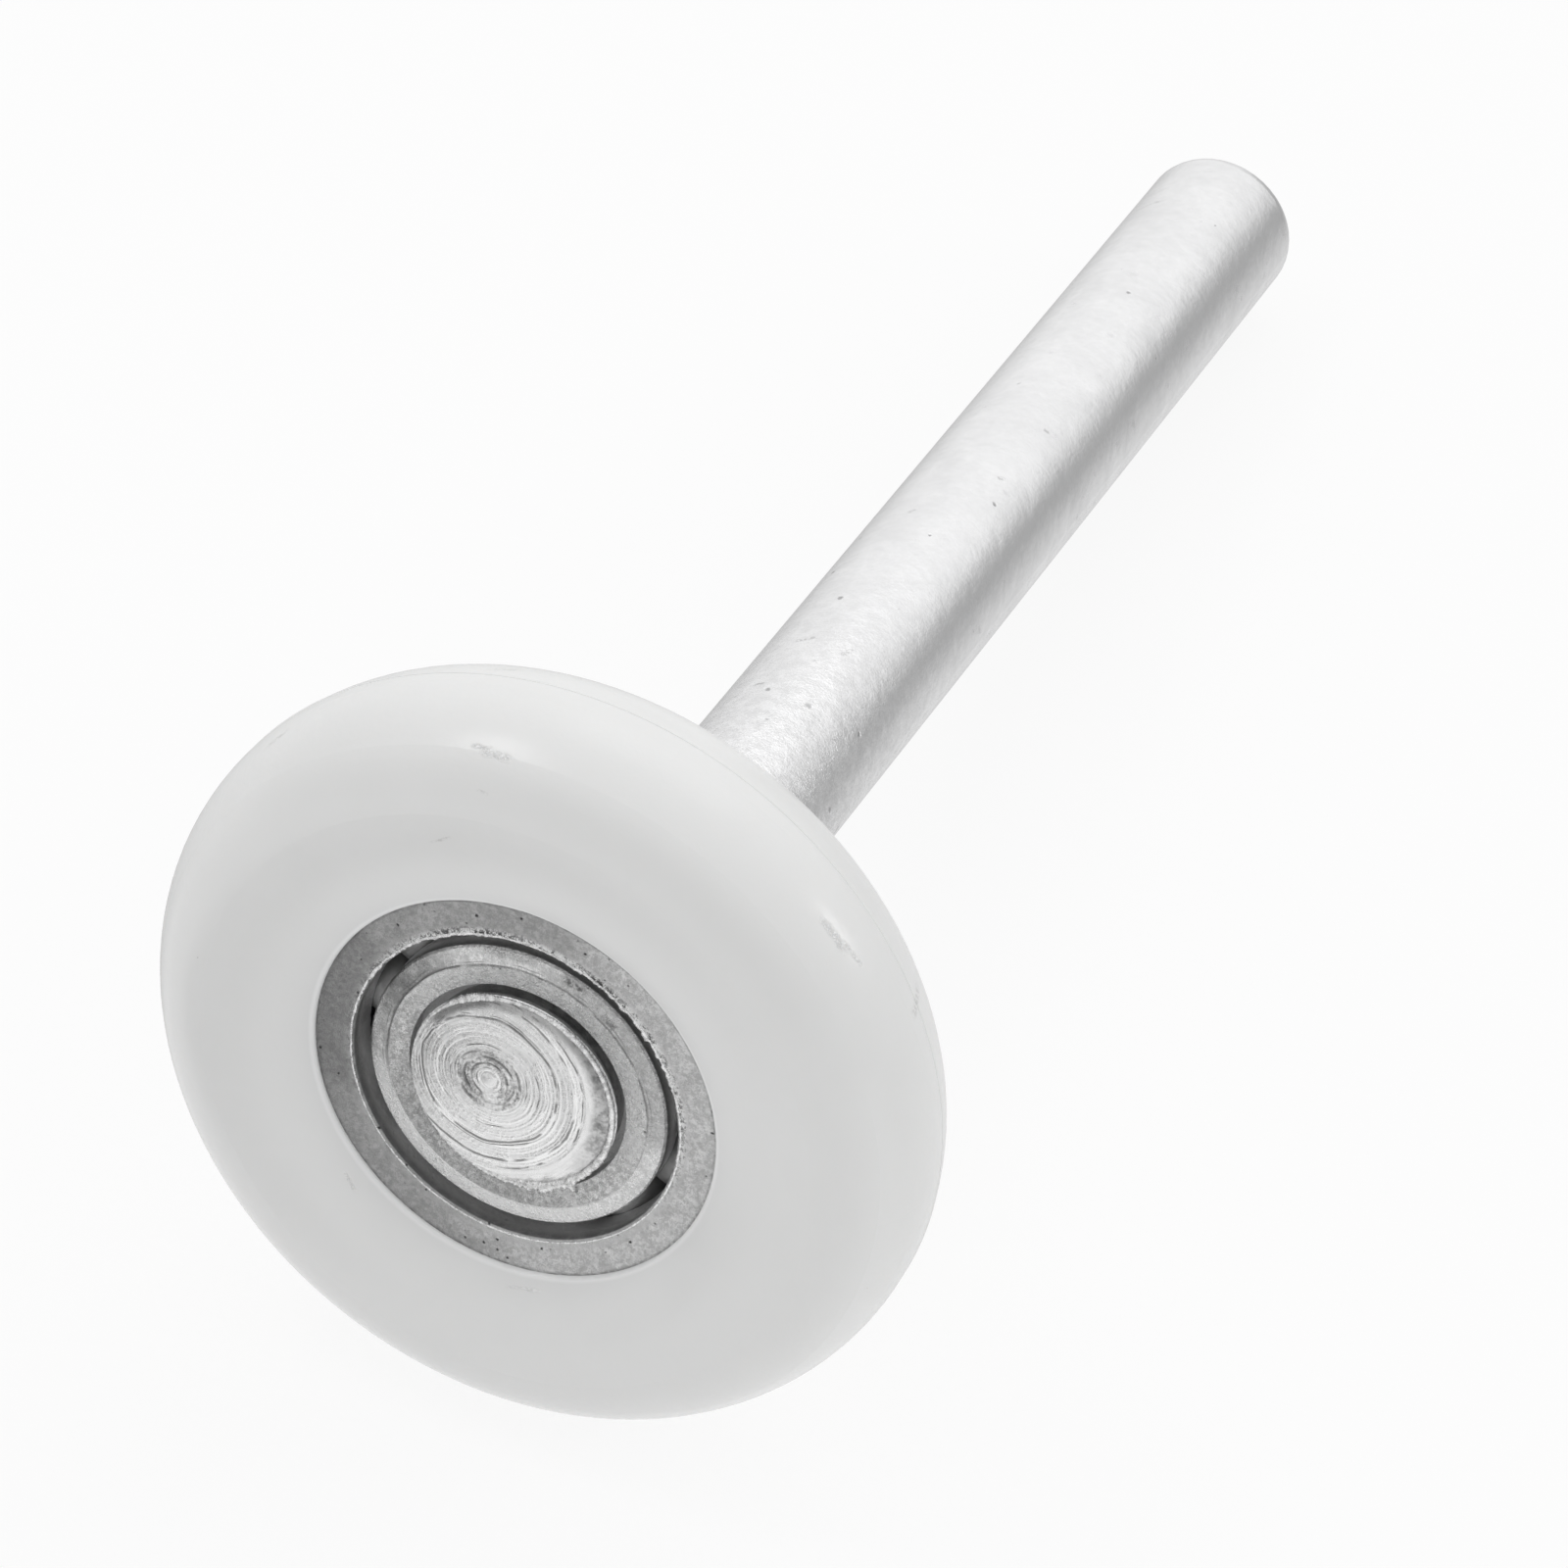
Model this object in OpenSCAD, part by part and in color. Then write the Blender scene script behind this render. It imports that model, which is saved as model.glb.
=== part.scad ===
// Garage door roller: a nylon wheel moulded round an open full-complement ball bearing,
// on a short zinc-plated steel stem.
// Origin: centre of the wheel. The wheel spins about +Y and the stem runs towards +Y.
// Every turned profile is drawn as [distance from the axis, place along Y].

/* [Wheel] */
// Diameter over the tread
wheel_d = 50; // [46:0.5:60]
// Thickness of the wheel from face to face
wheel_w = 13; // [12:0.1:15]
// Radius of the tread across its width
tread_r = 8; // [7.8:0.1:11]
// Radius of the shoulder between the tread and each face
shoulder_r = 4.4; // [3.4:0.1:5]
// Rounding of the lip where each face meets the bearing
lip_r = 0.3; // [0.2:0.05:1]
// How far the nylon laps over each face of the outer race
lap = 1.2; // [0.6:0.1:1.4]
// Thickness of the nylon at the crest of that lip
lap_t = 0.3; // [0.2:0.05:1]
// Place of the mould's parting line along Y
parting_y = 1.2; // [-3:0.1:3]
// Height of the fine ridge on the parting line
parting_h = 0.05; // [0.02:0.01:0.15]

/* [Bearing] */
// Number of balls
ball_n = 13; // [9:1:13]
// Diameter of each ball
ball_d = 4.76; // [4.4:0.01:4.8]
// Diameter of the circle of ball centres
pitch_d = 20.3; // [20.2:0.05:21]
// Running clearance between a ball and its groove
ball_play = 0.03; // [0.02:0.005:0.05]
// Width of the outer race from face to face
bearing_w = 9.3; // [7.6:0.1:9.6]
// Open gap between the inner and outer races
race_gap = 0.9; // [0.7:0.05:1.2]
// Outside diameter of the outer race
race_od = 28.6; // [27.6:0.1:30]
// Broken edge on the corners of the races
edge_break = 0.12; // [0.1:0.02:0.3]
// How far each inner race sits below the face of the outer race
cone_set = 0.3; // [0.1:0.05:0.5]
// How far the outer band of each inner race falls away towards its edge
cone_fall = 0.15; // [0.05:0.05:0.4]
// Depth of the turned crease between the two bands of each inner race
crease = 0.06; // [0.02:0.01:0.12]
// Width of the dished band round the socket in the front inner race
dish_w = 1.4; // [1:0.05:1.8]
// Depth of the dished band at the socket
dish_depth = 0.15; // [0.05:0.05:0.5]

/* [Stem] */
// Diameter of the stem where the hinge sleeve takes it
stem_d = 11; // [10:0.1:11.2]
// Distance from the wheel's centre to the tail of the stem
stem_len = 111; // [70:1:300]
// Rounding of the tail's edge
tail_r = 1.3; // [0.5:0.1:3]
// Diameter of the seat that carries the inner races
seat_d = 10.4; // [9.4:0.1:10.8]
// Clearance between the seat and the bores of the inner races
seat_fit = 0.02; // [0.01:0.005:0.04]
// Diameter of the neck between the bearing and the collar
neck_d = 12.7; // [12:0.1:13.6]
// Diameter over the upset collar
collar_d = 16.6; // [15.6:0.1:18]
// Width of the collar
collar_w = 5.1; // [4.4:0.1:6]
// Place of the middle of the collar along Y
collar_y = 18; // [15:0.5:30]
// Rounding of the collar's crest
collar_r = 2; // [1:0.1:2.2]
// Hollow at the foot of the collar
foot_r = 0.5; // [0.2:0.05:0.7]
// Diameter of the riveted head
head_d = 13.4; // [13:0.1:13.8]
// How far the head stands out of the bearing
head_proud = 0.25; // [0.1:0.05:0.8]
// How deep the head is let into the front inner race
socket_depth = 1.4; // [1:0.1:1.7]
// Gap round the head in its socket
head_gap = 0.4; // [0.3:0.05:0.5]
// How far the head's side draws in towards its base
head_draw = 0.3; // [0.1:0.05:0.5]
// Broken front edge of the head
head_edge = 0.18; // [0.1:0.02:0.3]
// Radius of the dome that the riveting tool left on the head
dome_r = 32; // [24:1:60]
// Diameter of the flat that was faced on the dome
facing_d = 13; // [12.6:0.1:14]
// How far the flat and its pip lie off the stem's axis
facing_off = 1.55; // [0:0.05:1.8]
// Direction of that offset, turned from +X towards +Z
facing_dir = 165; // [0:5:355]
// Diameter of the pip that the facing tool left
pip_d = 0.9; // [0.5:0.1:1.4]
// Height of the pip
pip_h = 0.12; // [0.05:0.01:0.2]

/* [Hidden] */
$fn = 128;

nylon = [0.93, 0.93, 0.92];
race_steel = [0.55, 0.55, 0.55];
cone_steel = [0.66, 0.66, 0.66];
zinc = [0.78, 0.78, 0.79];
ball_steel = [0.72, 0.73, 0.75];

wheel_r = wheel_d / 2;
half_w = wheel_w / 2;
race_half = bearing_w / 2;
cone_half = race_half - cone_set;
race_r = race_od / 2;
recess_r = race_r - lap;
pitch_r = pitch_d / 2;
groove_r = ball_d / 2 + ball_play;
bore_r = pitch_r + race_gap / 2;
cone_r = pitch_r - race_gap / 2;
seat_r = seat_d / 2;
head_r = head_d / 2;
socket_r = head_r + head_gap;
dish_r = socket_r + dish_w;
head_front = race_half + head_proud;
head_back = cone_half - socket_depth;
facing_x = facing_off * cos(facing_dir);
facing_z = facing_off * sin(facing_dir);

// The tread's arc runs into each shoulder's arc at shoulder_a from the wheel's plane
tread_c = wheel_r - tread_r;
shoulder_a = asin((half_w - shoulder_r) / (tread_r - shoulder_r));
shoulder_c = tread_c + (tread_r - shoulder_r) * cos(shoulder_a);
shoulder_y = half_w - shoulder_r;
shoulder_end = tread_c + tread_r * cos(shoulder_a);
shoulder_end_y = tread_r * sin(shoulder_a);
lip_c = recess_r + lip_r;
lip_y = race_half + lap_t - lip_r;
// The face's arc leaves the shoulder at its crest and runs into the lip's arc
face_run = shoulder_c - lip_c;
face_rise = half_w - lip_y;
face_r = (pow(face_run, 2) + pow(face_rise, 2) - pow(lip_r, 2)) / (2 * (face_rise - lip_r));
face_y = half_w - face_r;
lip_end = shoulder_c - face_run * face_r / (face_r - lip_r);

function ball_name(i) = str("ball_", i < 10 ? "0" : "", i);

// Turns a profile about the wheel's axis
module turned() {
    rotate([-90, 0, 0]) rotate_extrude() children();
}

// A shape and its mirror image across the wheel's plane
module both_sides() {
    children();
    mirror([0, 1]) children();
}

// Ring-shaped region of a profile between two radii, from y0 to y1
module band(r0, r1, y0, y1) {
    translate([r0, y0]) square([r1 - r0, y1 - y0]);
}

// Corner cut at 45 degrees, with its point at [r, y]
module corner(r, y, leg) {
    translate([r, y]) rotate(45) square(leg * sqrt(2), center = true);
}

// Part of a circle between two radii, from y0 up to the wheel's face
module arc(c, y, r, r0, r1, y0) {
    intersection() {
        translate([c, y]) circle(r);
        band(r0, r1, y0, half_w);
    }
}

// Rounded section of the nylon from the lip to the tread, on one side of the wheel's plane
module tyre_side() {
    arc(lip_c, lip_y, lip_r, recess_r, lip_c + lip_r, lip_y);
    arc(shoulder_c, face_y, face_r, lip_end, shoulder_c, lip_y);
    arc(shoulder_c, shoulder_y, shoulder_r, shoulder_c, shoulder_end, 0);
    band(recess_r, shoulder_c, 0, lip_y);
}

// Crown of the tread, which runs in under the two shoulders
module tread_crown() {
    intersection() {
        translate([tread_c, 0]) circle(tread_r);
        band(shoulder_c, wheel_r, -shoulder_end_y, shoulder_end_y);
    }
}

// Fine ridge left by the joint of the mould
module parting_ridge() {
    ridge_r = tread_c + sqrt(pow(tread_r, 2) - pow(parting_y, 2));
    translate([ridge_r - parting_h, parting_y]) circle(2 * parting_h);
}

module tyre() {
    color(nylon) turned() difference() {
        union() {
            both_sides() tyre_side();
            tread_crown();
            parting_ridge();
        }
        band(0, race_r, -race_half, race_half);
    }
}

module outer_race() {
    color(race_steel) turned() difference() {
        band(bore_r, race_r, -race_half, race_half);
        translate([pitch_r, 0]) circle(groove_r);
        both_sides() corner(bore_r, race_half, edge_break);
    }
}

// Half of the split inner race, with its outer face towards +Y: the outer band falls away
module inner_race_half() {
    difference() {
        polygon([
            [seat_r + seat_fit, 0],
            [cone_r, 0],
            [cone_r, cone_half - cone_fall - edge_break],
            [cone_r - edge_break, cone_half - cone_fall],
            [dish_r, cone_half],
            [seat_r + seat_fit, cone_half]
        ]);
        translate([pitch_r, 0]) circle(groove_r);
        corner(dish_r, cone_half, crease);
    }
}

// Front half: dished and bored out so that the stem's head can clamp it
module inner_race_front() {
    color(cone_steel) turned() mirror([0, 1]) difference() {
        inner_race_half();
        band(0, socket_r, head_back, race_half);
        polygon([
            [0, cone_half - dish_depth],
            [socket_r, cone_half - dish_depth],
            [dish_r, cone_half],
            [0, cone_half]
        ]);
    }
}

// Rear half: bears on the shoulder of the stem's neck
module inner_race_rear() {
    color(cone_steel) turned() inner_race_half();
}

// Head formed over the front inner race: drawn in towards its base, domed, and faced off centre
module stem_head() {
    intersection() {
        turned() polygon([
            [0, -head_front],
            [head_r - head_edge, -head_front],
            [head_r, head_edge - head_front],
            [head_r - head_draw, -head_back],
            [0, -head_back]
        ]);
        translate([facing_x, sqrt(pow(dome_r, 2) - pow(facing_d / 2, 2)) - head_front, facing_z])
            sphere(dome_r);
    }
}

// Upset bead that stops the stem against the hinge, with a hollow at each foot
module stem_collar() {
    crest_y = collar_w / 2 - collar_r;
    crest_r = collar_d / 2 - collar_r;
    translate([0, collar_y]) {
        both_sides() translate([crest_r, crest_y]) circle(collar_r);
        band(0, crest_r + collar_r, -crest_y, crest_y);
        band(0, crest_r, -collar_w / 2, collar_w / 2);
        mirror([0, 1]) foot(neck_d / 2);
        foot(stem_d / 2);
    }
}

// Hollow between the collar's side and a shaft of radius r
module foot(r) {
    translate([r, collar_w / 2]) difference() {
        square(foot_r);
        translate([foot_r, foot_r]) circle(foot_r);
    }
}

// Plain shank with a rounded tail
module stem_shank() {
    band(0, stem_d / 2, collar_y, stem_len - tail_r);
    band(0, stem_d / 2 - tail_r, collar_y, stem_len);
    intersection() {
        translate([stem_d / 2 - tail_r, stem_len - tail_r]) circle(tail_r);
        band(0, stem_d / 2, stem_len - tail_r, stem_len);
    }
}

// Cone left at the centre of the facing marks on the head
module facing_pip() {
    translate([facing_x, -head_front, facing_z])
        rotate([90, 0, 0]) cylinder(h = pip_h, d1 = pip_d, d2 = pip_d / 3);
}

module stem() {
    color(zinc) {
        stem_head();
        turned() {
            band(0, seat_r, -head_back, cone_half);
            band(0, neck_d / 2, cone_half, collar_y);
            stem_collar();
            stem_shank();
        }
        facing_pip();
    }
}

// Ball i of the full complement, counted from the top of the wheel
module ball(i) {
    color(ball_steel)
        rotate([0, (i - 1) * 360 / ball_n, 0]) translate([0, 0, pitch_r]) sphere(d = ball_d);
}

tyre();
outer_race();
inner_race_front();
inner_race_rear();
stem();
for (i = [1:ball_n]) ball(i);
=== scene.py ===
import math

import bmesh
import bpy
import numpy as np
from mathutils import Matrix, Vector


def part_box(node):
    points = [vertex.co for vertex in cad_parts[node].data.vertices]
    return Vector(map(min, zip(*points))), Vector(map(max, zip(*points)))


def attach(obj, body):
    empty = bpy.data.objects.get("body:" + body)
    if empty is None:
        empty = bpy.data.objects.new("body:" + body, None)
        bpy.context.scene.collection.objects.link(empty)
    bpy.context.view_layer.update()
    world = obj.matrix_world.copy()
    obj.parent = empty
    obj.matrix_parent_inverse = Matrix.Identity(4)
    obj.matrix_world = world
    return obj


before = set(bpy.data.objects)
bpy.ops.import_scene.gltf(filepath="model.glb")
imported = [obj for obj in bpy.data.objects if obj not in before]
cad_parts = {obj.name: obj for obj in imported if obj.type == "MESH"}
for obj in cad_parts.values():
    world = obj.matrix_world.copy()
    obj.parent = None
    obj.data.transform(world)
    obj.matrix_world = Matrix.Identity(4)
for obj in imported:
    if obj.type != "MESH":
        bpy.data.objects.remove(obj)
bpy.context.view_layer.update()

# Garage door roller: nylon wheel, open ball bearing and zinc-plated stem.
# The wheel turns on the Y axis and its front faces -Y. Lengths are in metres,
# apart from names that end in _MM and places inside the materials, in millimetres.
MM = 0.001
WHEEL_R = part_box("tyre")[1].z
RACE_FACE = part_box("outer_race")[1].y
STEM_LOW, STEM_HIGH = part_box("stem")
HEAD_FRONT = STEM_LOW.y
STEM_LEN = STEM_HIGH.y
STEM_R = 5.5 * MM

# Radii round the Y axis: the nylon's lip, the outer race's bore, the inner race's edge,
# its crease and its socket, and the stem's head
LIP_MM = 13.1
BORE_EDGE_MM = 10.72
CONE_EDGE_MM = 9.7
CREASE_MM = 8.5
SOCKET_MM = 7.1
HEAD_R_MM = 6.7
BORE_EDGE = BORE_EDGE_MM * MM
HEAD_R = HEAD_R_MM * MM
# The outer race's face, from the wheel's plane
RACE_FACE_MM = round(RACE_FACE / MM, 3)

# The riveted head is flat with a domed edge. It was faced off centre, so its rings run
# round a point beside the axis. The tongue on its edge is placed in degrees from +X
FLAT_R = 6.5 * MM
DOME_R = 32 * MM
FACED_X_MM, FACED_Z_MM = -1.5, 0.4
FACED_X, FACED_Z = FACED_X_MM * MM, FACED_Z_MM * MM
TONGUE_TURN = -49

# The roller lies on its rim and its tail, so the floor climbs towards the tail
FLOOR_TILT = math.atan((WHEEL_R - STEM_R) / STEM_LEN)
FLOOR_UP = Vector((0, -math.sin(FLOOR_TILT), math.cos(FLOOR_TILT)))
FLOOR_SIZE = 1.6
FLOOR_WHITE = 0.80
# Places along the stem, as shares of its length
FLOOR_MIDDLE, LIGHTS_AIM, CAMERA_AIM = 0.35, 0.2, 0.2917


# ---------------------------------------------------------------- shader tools
class Nodes:
    """Short way to place nodes in a tree and link them: each value is a number or a socket."""

    def __init__(self, tree):
        self.tree = tree

    def add(self, kind, inputs=None, **settings):
        node = self.tree.nodes.new(kind)
        for key, value in settings.items():
            setattr(node, key, value)
        for key, value in (inputs or {}).items():
            self.feed(node.inputs[key], value)
        return node

    def feed(self, socket, value):
        if isinstance(value, bpy.types.NodeSocket):
            self.tree.links.new(value, socket)
        else:
            socket.default_value = value

    def math(self, operation, *values):
        return self.add("ShaderNodeMath", dict(enumerate(values)), operation=operation).outputs[0]

    def plus(self, a, b):
        return self.math("ADD", a, b)

    def minus(self, a, b):
        return self.math("SUBTRACT", a, b)

    def times(self, first, *others):
        for other in others:
            first = self.math("MULTIPLY", first, other)
        return first

    def most(self, first, *others):
        for other in others:
            first = self.math("MAXIMUM", first, other)
        return first

    def vector(self, operation, *values, out=0):
        node = self.add("ShaderNodeVectorMath", operation=operation)
        for socket, value in zip(node.inputs, values):
            self.feed(socket, value)
        return node.outputs[out]

    def scaled(self, vector, factor):
        node = self.add("ShaderNodeVectorMath", {0: vector, "Scale": factor}, operation="SCALE")
        return node.outputs[0]

    def spread(self, value, low, high, to_low=0.0, to_high=1.0, smooth=True):
        """Carries low..high over to to_low..to_high and stays level outside them."""
        inputs = {"Value": value, "From Min": low, "From Max": high}
        inputs.update({"To Min": to_low, "To Max": to_high})
        kind = "SMOOTHSTEP" if smooth else "LINEAR"
        node = self.add("ShaderNodeMapRange", inputs, interpolation_type=kind)
        return node.outputs["Result"]

    def mix(self, factor, a, b):
        node = self.add("ShaderNodeMix", data_type="RGBA")
        for name, value in (("Factor", factor), ("A", a), ("B", b)):
            sockets = [s for s in node.inputs if s.name == name and s.enabled]
            self.feed(sockets[0], value)
        return [s for s in node.outputs if s.enabled][0]

    def cover(self, under, top, *parts):
        """The colour top over the colour under, as far as the product of the parts."""
        return self.mix(self.times(*parts), under, top)

    def blend(self, factor, under, over):
        """Mix of two shaders, each given as its node."""
        inputs = {"Fac": factor, 1: under.outputs[0], 2: over.outputs[0]}
        return self.add("ShaderNodeMixShader", inputs)

    def noise(self, place, scale, detail=2.0, rough=0.5, warp=0.0):
        inputs = {"Vector": place, "Scale": scale, "Detail": detail}
        inputs.update({"Roughness": rough, "Distortion": warp})
        return self.add("ShaderNodeTexNoise", inputs).outputs["Fac"]

    def split(self, vector):
        return self.add("ShaderNodeSeparateXYZ", {"Vector": vector}).outputs

    def join(self, x, y, z):
        return self.add("ShaderNodeCombineXYZ", {"X": x, "Y": y, "Z": z}).outputs[0]

    def centred_noise(self, place, scale, detail):
        return self.minus(self.noise(place, scale, detail=detail), 0.5)

    def group(self, tree, **inputs):
        node = self.add("ShaderNodeGroup", node_tree=tree)
        for key, value in inputs.items():
            self.feed(node.inputs[key.replace("_", " ")], value)
        return node.outputs


def new_group(name, inputs, outputs):
    """Shader node group with named sockets: returns its tree, its builder and both ends."""
    tree = bpy.data.node_groups.new(name, "ShaderNodeTree")
    for label, value in inputs.items():
        kind = "NodeSocketVector" if value is None else "NodeSocketFloat"
        socket = tree.interface.new_socket(label, in_out="INPUT", socket_type=kind)
        if value is not None:
            socket.default_value = value
    for label in outputs:
        tree.interface.new_socket(label, in_out="OUTPUT", socket_type="NodeSocketFloat")
    nodes = Nodes(tree)
    start = nodes.add("NodeGroupInput").outputs
    end = nodes.add("NodeGroupOutput").inputs
    return tree, nodes, start, end


# Every group takes its Place in millimetres, fixed to the piece
def build_blotches():
    """Soft uneven patches, as plating or a rolled bar has."""
    inputs = {"Place": None, "Size": 2.0, "Contrast": 0.5, "Grain": 0.5}
    tree, n, start, end = new_group("Blotches", inputs, ("Mask", "Height"))
    scale = n.math("DIVIDE", 1.0, start["Size"])
    broad = n.noise(start["Place"], scale, detail=3.0, rough=0.55, warp=0.4)
    fine = n.noise(start["Place"], n.times(scale, 5.3), detail=4.0, rough=0.6)
    both = n.plus(broad, n.times(n.minus(fine, 0.5), start["Grain"]))
    reach = n.minus(0.36, n.times(start["Contrast"], 0.33))
    low = n.minus(0.5, reach)
    high = n.plus(0.5, reach)
    n.feed(end["Mask"], n.spread(both, low, high))
    n.feed(end["Height"], both)
    return tree


def build_pits():
    """Scattered tiny pits or specks: Share is the part of the cells that hold one."""
    inputs = {"Place": None, "Spacing": 1.0, "Share": 0.3, "Size": 0.2}
    tree, n, start, end = new_group("Pits", inputs, ("Mask", "Depth"))
    shake = n.add("ShaderNodeTexNoise", {"Vector": start["Place"], "Scale": 3.0, "Detail": 2.0})
    shaken = n.vector("ADD", start["Place"], n.scaled(shake.outputs["Color"], 0.25))
    scale = n.math("DIVIDE", 1.0, start["Spacing"])
    cells = n.add("ShaderNodeTexVoronoi", {"Vector": shaken, "Scale": scale}).outputs
    pick = n.add("ShaderNodeSeparateColor", {"Color": cells["Color"]}).outputs
    here = n.math("LESS_THAN", pick["Red"], start["Share"])
    size = n.times(start["Size"], n.plus(0.4, pick["Green"]))
    round_pit = n.spread(cells["Distance"], size, n.times(size, 0.4))
    mask = n.times(here, round_pit)
    n.feed(end["Mask"], mask)
    n.feed(end["Depth"], n.times(mask, -1.0))
    return tree


def build_scratches():
    """Short fine scratches that run in mixed directions."""
    inputs = {"Place": None, "Spacing": 6.0, "Share": 0.4, "Width": 0.04}
    tree, n, start, end = new_group("Scratches", inputs, ("Mask", "Depth"))
    scale = n.math("DIVIDE", 1.0, start["Spacing"])
    cells = n.add("ShaderNodeTexVoronoi", {"Vector": start["Place"], "Scale": scale}).outputs
    pick = n.add("ShaderNodeSeparateColor", {"Color": cells["Color"]}).outputs
    here = n.math("LESS_THAN", pick["Red"], start["Share"])
    centre = n.scaled(cells["Position"], start["Spacing"])
    offset = n.vector("SUBTRACT", start["Place"], centre)
    lean = n.vector("NORMALIZE", n.vector("SUBTRACT", cells["Color"], (0.5, 0.5, 0.5)))
    along = n.vector("DOT_PRODUCT", offset, lean, out=1)
    length = n.vector("LENGTH", offset, out=1)
    bend = n.times(n.math("POWER", n.math("ABSOLUTE", along), 2.0), 0.08)
    across_sq = n.minus(n.math("POWER", length, 2.0), n.math("POWER", along, 2.0))
    across = n.math("ABSOLUTE", n.minus(n.math("SQRT", n.most(across_sq, 0.0)), bend))
    line = n.spread(across, start["Width"], n.times(start["Width"], 0.3))
    reach = n.times(start["Spacing"], 0.28)
    ends = n.spread(n.math("ABSOLUTE", along), reach, n.times(reach, 0.3))
    mask = n.times(here, line, ends)
    n.feed(end["Mask"], mask)
    n.feed(end["Depth"], n.times(mask, -1.0))
    return tree


def build_turning():
    """Rings that a turning tool leaves round an axis along Y through Centre X, Centre Z."""
    inputs = {"Place": None, "Centre X": 0.0, "Centre Z": 0.0, "Pitch": 0.3, "Waver": 0.1}
    tree, n, start, end = new_group("Turning marks", inputs, ("Mask", "Height", "Radius"))
    place = n.split(start["Place"])
    x = n.minus(place["X"], start["Centre X"])
    z = n.minus(place["Z"], start["Centre Z"])
    flat = n.join(x, 0.0, z)
    radius = n.vector("LENGTH", flat, out=1)
    shake = n.times(n.centred_noise(flat, 0.6, 2.0), start["Waver"])
    turns = n.math("DIVIDE", n.plus(radius, shake), start["Pitch"])
    line = n.join(turns, n.times(place["Y"], 0.5), 0.0)
    rings = n.noise(line, 1.0, detail=3.0, rough=0.7)
    n.feed(end["Height"], rings)
    n.feed(end["Mask"], n.spread(rings, 0.35, 0.68))
    n.feed(end["Radius"], radius)
    return tree


def build_grime_and_painted_shading():
    """Mask of a recess round the Y axis, given by its radii and its depths: used for old grease in
    the bearing's gap, painted light in the socket and painted shade on the head's rim.
    """
    inputs = {"Place": None, "Depth": 0.0, "Radius From": 1.0, "Radius To": 0.0}
    inputs.update({"Depth From": 1.0, "Depth To": 0.0})
    tree, n, start, end = new_group("Grime and painted shading", inputs, ("Mask",))
    place = n.split(start["Place"])
    radius = n.vector("LENGTH", n.join(place["X"], 0.0, place["Z"]), out=1)
    ring = n.spread(radius, start["Radius From"], start["Radius To"])
    deep = n.spread(start["Depth"], start["Depth From"], start["Depth To"])
    patchy = n.noise(start["Place"], 1.1, detail=4.0, rough=0.6)
    broken = n.spread(patchy, 0.3, 0.6, 0.72, 1.0)
    n.feed(end["Mask"], n.times(ring, deep, broken))
    return tree


def build_ring_line():
    """Broken dark line at one radius."""
    inputs = {"Place": None, "Radius": 0.0, "At": 1.0, "Width": 0.1, "Broken": 0.5}
    tree, n, start, end = new_group("Ring line", inputs, ("Mask",))
    shake = n.times(n.centred_noise(start["Place"], 0.45, 2.0), 0.45)
    off = n.math("ABSOLUTE", n.minus(n.plus(start["Radius"], shake), start["At"]))
    line = n.spread(off, start["Width"], n.times(start["Width"], 0.2))
    # Each line has gaps of its own, because its radius shifts the noise
    shift = n.scaled(n.join(start["At"], 0.0, 0.0), 7.0)
    gaps = n.noise(n.vector("ADD", start["Place"], shift), 0.42)
    reach = n.times(start["Broken"], 0.3)
    here = n.spread(gaps, n.plus(0.3, reach), n.plus(0.42, reach))
    n.feed(end["Mask"], n.times(line, here))
    return tree


def build_scuff():
    """One rubbed mark at a place: Along is its direction, Length its half length."""
    inputs = {"Place": None, "At": None, "Along": None, "Length": 1.0, "Width": 0.2}
    tree, n, start, end = new_group("Scuff", inputs, ("Mask",))
    shake = n.add("ShaderNodeTexNoise", {"Vector": start["Place"], "Scale": 1.3, "Detail": 3.0})
    shake = n.vector("SUBTRACT", shake.outputs["Color"], (0.5, 0.5, 0.5))
    offset = n.vector("SUBTRACT", start["Place"], start["At"])
    offset = n.vector("ADD", offset, n.scaled(shake, 0.35))
    way = n.vector("NORMALIZE", start["Along"])
    along = n.vector("DOT_PRODUCT", offset, way, out=1)
    across = n.vector("LENGTH", n.vector("SUBTRACT", offset, n.scaled(way, along)), out=1)
    line = n.spread(across, start["Width"], n.times(start["Width"], 0.25))
    ends = n.spread(n.math("ABSOLUTE", along), start["Length"], n.times(start["Length"], 0.4))
    speckle = n.spread(n.noise(start["Place"], 5.0, detail=3.0, rough=0.7), 0.38, 0.6)
    n.feed(end["Mask"], n.times(line, ends, speckle))
    return tree


def build_side():
    """Part of a ring round the Y axis: Turn is its middle in degrees from +X towards +Z."""
    inputs = {"Place": None, "Turn": 0.0, "Reach From": 0.0, "Reach To": 1.0}
    tree, n, start, end = new_group("One side", inputs, ("Mask",))
    flat = n.vector("NORMALIZE", n.vector("MULTIPLY", start["Place"], (1.0, 0.0, 1.0)))
    turn = n.math("RADIANS", start["Turn"])
    way = n.join(n.math("COSINE", turn), 0.0, n.math("SINE", turn))
    near = n.vector("DOT_PRODUCT", flat, way, out=1)
    shake = n.times(n.centred_noise(start["Place"], 0.35, 3.0), 0.5)
    n.feed(end["Mask"], n.spread(n.plus(near, shake), start["Reach From"], start["Reach To"]))
    return tree


BLOTCHES = build_blotches()
GRIME_AND_PAINTED_SHADING = build_grime_and_painted_shading()
SIDE = build_side()
RING_LINE = build_ring_line()
SCUFF = build_scuff()
PITS = build_pits()
SCRATCHES = build_scratches()
TURNING = build_turning()


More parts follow.
